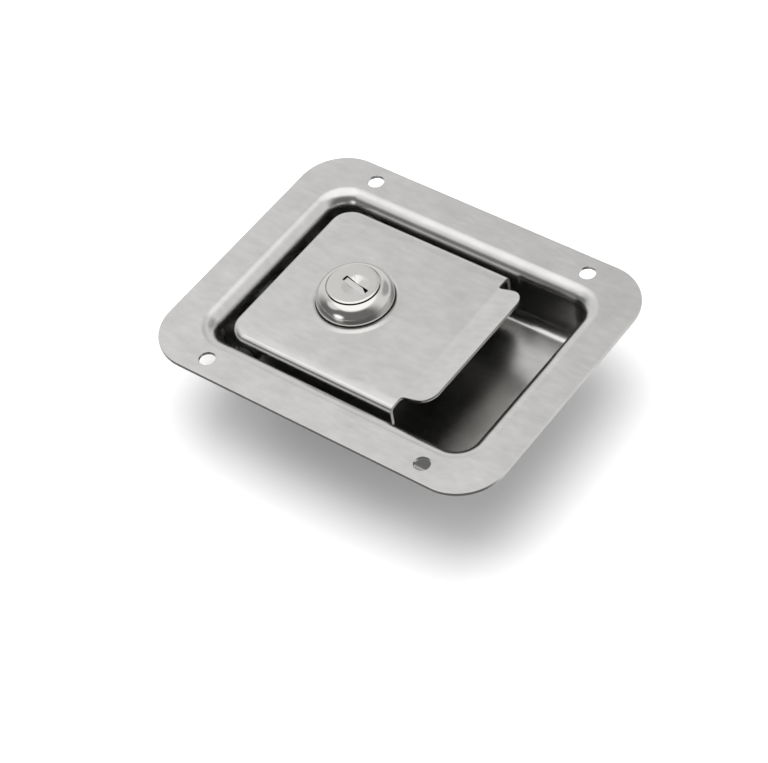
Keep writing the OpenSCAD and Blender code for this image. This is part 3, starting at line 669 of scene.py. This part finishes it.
def make_set_out():
    """Puts a copy of one piece at each point, each a little larger or smaller, in one finish."""
    tree = bpy.data.node_groups.new("set out", "GeometryNodeTree")
    group_socket(tree, "Points", "INPUT", "NodeSocketGeometry")
    group_socket(tree, "Piece", "INPUT", "NodeSocketObject")
    group_socket(tree, "Least size", "INPUT", "NodeSocketFloat", 1.0)
    group_socket(tree, "Most size", "INPUT", "NodeSocketFloat", 1.0)
    group_socket(tree, "Finish", "INPUT", "NodeSocketMaterial")
    group_socket(tree, "Geometry", "OUTPUT", "NodeSocketGeometry")
    entry = tree.nodes.new("NodeGroupInput")
    leave = tree.nodes.new("NodeGroupOutput")
    piece = place(tree, "GeometryNodeObjectInfo", {"Object": entry.outputs["Piece"]})
    size = place(tree, "FunctionNodeRandomValue", {"Seed": 0}, data_type="FLOAT")
    tree.links.new(entry.outputs["Least size"], size.inputs[2])
    tree.links.new(entry.outputs["Most size"], size.inputs[3])
    copies = place(tree, "GeometryNodeInstanceOnPoints", {
        "Points": entry.outputs["Points"], "Instance": piece.outputs["Geometry"],
        "Scale": size.outputs[1]})
    real = place(tree, "GeometryNodeRealizeInstances", {"Geometry": copies.outputs[0]})
    painted = place(tree, "GeometryNodeSetMaterial", {
        "Geometry": real.outputs[0], "Material": entry.outputs["Finish"]})
    tree.links.new(painted.outputs[0], leave.inputs["Geometry"])
    return tree


SET_OUT = make_set_out()


def set_out(name, pattern, points, slot_name, sizes=(1.0, 1.0)):
    """A mesh with the pattern mesh repeated at each point."""
    sample = in_scene(name + "_sample", pattern)
    dots = bpy.data.meshes.new(name)
    dots.from_pydata(points, [], [])
    holder = in_scene(name + "_points", dots)
    nodes = holder.modifiers.new("set out", "NODES")
    nodes.node_group = SET_OUT
    sockets = {item.name: item.identifier for item in SET_OUT.interface.items_tree
               if item.in_out == "INPUT"}
    nodes[sockets["Piece"]] = sample
    nodes[sockets["Least size"]], nodes[sockets["Most size"]] = sizes
    nodes[sockets["Finish"]] = FINISH[slot_name]
    mesh = baked(holder).data
    mesh.name = name
    bpy.data.objects.remove(holder)
    bpy.data.objects.remove(sample)
    for face in mesh.polygons:
        face.use_smooth = True
    return mesh


def rivet_pattern(grip):
    """A domed rivet, head up, with its seat at height 0."""
    dome_r, rounding, dome_steps, sides = 1.3 * RIVET_HEAD_R, 0.12 * MM, 14, 40
    profile = [(0.0, RIVET_DOME_H)]
    for i in range(1, dome_steps + 1):
        r = (RIVET_HEAD_R - rounding) * i / dome_steps
        profile.append((r, RIVET_DOME_H - dome_r + math.sqrt(dome_r * dome_r - r * r)))
    profile += [(RIVET_HEAD_R - 0.03 * MM, 0.1 * MM), (RIVET_HEAD_R, 0.0),
                (RIVET_SHANK_R, 0.0), (RIVET_SHANK_R, -grip)]
    foot = -grip - RIVET_END_H
    profile += [(RIVET_SHANK_R + 0.9 * MM, -grip), (RIVET_SHANK_R + 1.0 * MM, -grip - rounding),
                (RIVET_SHANK_R + 0.6 * MM, foot + rounding), (RIVET_SHANK_R + 0.4 * MM, foot),
                (0.0, foot)]
    return lathe("rivet", profile, sides)


def make_rivets(node, pairs_across):
    """The rivets of a node, in pairs across the pan or one by one along its middle."""
    low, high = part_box(node)
    seat = high.z - RIVET_DOME_H
    grip = seat - low.z - RIVET_END_H
    xs = (low.x + RIVET_HEAD_R, high.x - RIVET_HEAD_R)
    pair = (low.y + RIVET_HEAD_R, high.y - RIVET_HEAD_R)
    ys = pair if pairs_across else ((low.y + high.y) / 2,)
    points = [(x, y, seat) for x in xs for y in ys]
    mesh = set_out(node + "_set", rivet_pattern(grip), points, SLOT_OF[node])
    follow(new_piece(node + "_set", mesh, node), node)


def make_weld_beads():
    """Two runs of weld that hold the foot of the drive arm under the paddle."""
    low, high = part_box("drive_arm")
    bead_r, bead_half_h, spacing, sunk = 0.95 * MM, 0.55 * MM, 0.62 * MM, 0.1 * MM
    past_toe, before_nut = 5.2 * MM, 1.6 * MM
    steps, sides = 8, 20
    ripple = []
    for i in range(steps + 1):
        a = math.pi * i / steps
        ripple.append((bead_r * math.sin(a), bead_half_h * math.cos(a)))
    pattern = lathe("weld_ripple", ripple, sides)
    start, end = low.x + past_toe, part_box("lock_nut")[0].x - before_nut
    count = int((end - start) / spacing)
    points = [(start + (end - start) * i / count, side * (high.y + sunk), PADDLE_UNDER - sunk)
              for side in (-1, 1) for i in range(count + 1)]
    mesh = set_out("weld_beads", pattern, points, "zinc_plated_steel", sizes=(0.9, 1.1))
    extra_piece("weld_beads", mesh, "paddle", "zinc_plated_steel")


make_barrel_thread()
make_raised_seat()
# A black ring under the lock head, a gasket that also paints the contact shade there
make_gasket_and_shade_ring()
make_paddle_spring()
make_bolt_spring()
make_rivets("housing_rivets", True)
make_rivets("keeper_rivets", False)
make_weld_beads()


# Floor, world and lamp

def make_floor():
    """A pale floor that keeps the shadow near the object and goes white far from it."""
    reach, near, far = 3.0, 0.4, 1.4
    near_glow, far_glow = 0.1, 1.0
    mesh = bpy.data.meshes.new("floor")
    mesh.from_pydata([(-reach, -reach, FLOOR_Z), (reach, -reach, FLOOR_Z),
                      (reach, reach, FLOOR_Z), (-reach, reach, FLOOR_Z)], [], [(0, 1, 2, 3)])
    floor = in_scene("floor", mesh)
    material, tree, shader = new_material("floor")
    tree.nodes.remove(shader)
    output = next(n for n in tree.nodes if n.type == "OUTPUT_MATERIAL")
    matt = place(tree, "ShaderNodeBsdfDiffuse", {"Color": (0.82, 0.82, 0.82, 1)})
    coords = place(tree, "ShaderNodeTexCoord")
    distance = place(tree, "ShaderNodeVectorMath", {0: coords.outputs["Object"]},
                     operation="LENGTH")
    strength = place(tree, "ShaderNodeMapRange", {
        "Value": distance.outputs["Value"], "From Min": near, "From Max": far,
        "To Min": near_glow, "To Max": far_glow})
    glow = place(tree, "ShaderNodeEmission", {
        "Color": (1, 1, 1, 1), "Strength": strength.outputs["Result"]})
    path = place(tree, "ShaderNodeLightPath")
    add = place(tree, "ShaderNodeAddShader", {0: matt.outputs[0], 1: glow.outputs[0]})
    mix = place(tree, "ShaderNodeMixShader", {
        0: path.outputs["Is Camera Ray"], 1: matt.outputs[0], 2: add.outputs[0]})
    tree.links.new(mix.outputs[0], output.inputs[0])
    mesh.materials.append(material)
    floor.visible_glossy = False


def make_world():
    """The surroundings as the steel shows them: a white wall behind with two duller places, a
    dark side towards the camera with a spot low on it, and a large light overhead with a smaller
    one at the camera's left. The camera itself sees plain white."""
    light_strength, spot_strength = 1.5, 1.5
    world = bpy.data.worlds.new("studio")
    bpy.context.scene.world = world
    world.use_nodes = True
    tree = world.node_tree
    tree.nodes.clear()
    coords = place(tree, "ShaderNodeTexCoord")

    def patch(direction, outer, inner, low, high):
        """From low, away from a direction, to high near it; outer and inner are in degrees."""
        facing = place(tree, "ShaderNodeVectorMath", {
            0: coords.outputs["Generated"], 1: tuple(Vector(direction).normalized())},
            operation="DOT_PRODUCT")
        return place(tree, "ShaderNodeMapRange", {
            "Value": facing.outputs["Value"], "From Min": math.cos(math.radians(outer)),
            "From Max": math.cos(math.radians(inner)), "To Min": low, "To Max": high},
            interpolation_type="SMOOTHSTEP").outputs["Result"]

    wall = patch((-0.17, 0.98, 0.12), 108, 70, 0.2, 0.95)
    gap = patch((0.28, 0.86, 0.42), 24, 12, 1.0, 0.5)
    corner = patch((-0.31, 0.64, 0.71), 15, 7, 1.0, 0.70)
    overhead = patch((-0.05, -0.04, 0.995), 39, 26, 0.0, 1.0)
    side_box = patch((-0.52, -0.42, 0.74), 20, 10, 0.0, 0.62)
    low_spot = patch((-0.17, -0.975, 0.14), 16, 6, 0.0, spot_strength)
    broken_wall = worked_out(tree, "MULTIPLY", worked_out(tree, "MULTIPLY", wall, gap), corner)
    lights = worked_out(tree, "MAXIMUM", overhead, side_box)
    lit = mixed_values(tree, lights, broken_wall, light_strength)
    room = place(tree, "ShaderNodeBackground", {
        "Color": (1, 1, 1, 1), "Strength": worked_out(tree, "ADD", lit, low_spot)})
    white = place(tree, "ShaderNodeBackground", {"Color": (1, 1, 1, 1), "Strength": 1.0})
    path = place(tree, "ShaderNodeLightPath")
    mix = place(tree, "ShaderNodeMixShader", {
        0: path.outputs["Is Camera Ray"], 1: room.outputs[0], 2: white.outputs[0]})
    output = place(tree, "ShaderNodeOutputWorld")
    tree.links.new(mix.outputs[0], output.inputs[0])


def make_key_softbox():
    """A softbox over the object that the steel doesn't mirror."""
    place_at, aim, side, watts = Vector((-0.04, 0.1, 1.0)), Vector((0, 0, 0)), 1.0, 10.0
    lamp = bpy.data.lights.new("key softbox", "AREA")
    lamp.shape = "RECTANGLE"
    lamp.size = lamp.size_y = side
    lamp.energy = watts
    holder = in_scene("key softbox", lamp)
    holder.location = place_at
    holder.rotation_mode = "QUATERNION"
    holder.rotation_quaternion = (aim - place_at).normalized().to_track_quat("-Z", "Y")
    holder.visible_glossy = False


make_floor()
make_world()
make_key_softbox()

bpy.context.scene.view_settings.view_transform = "Standard"
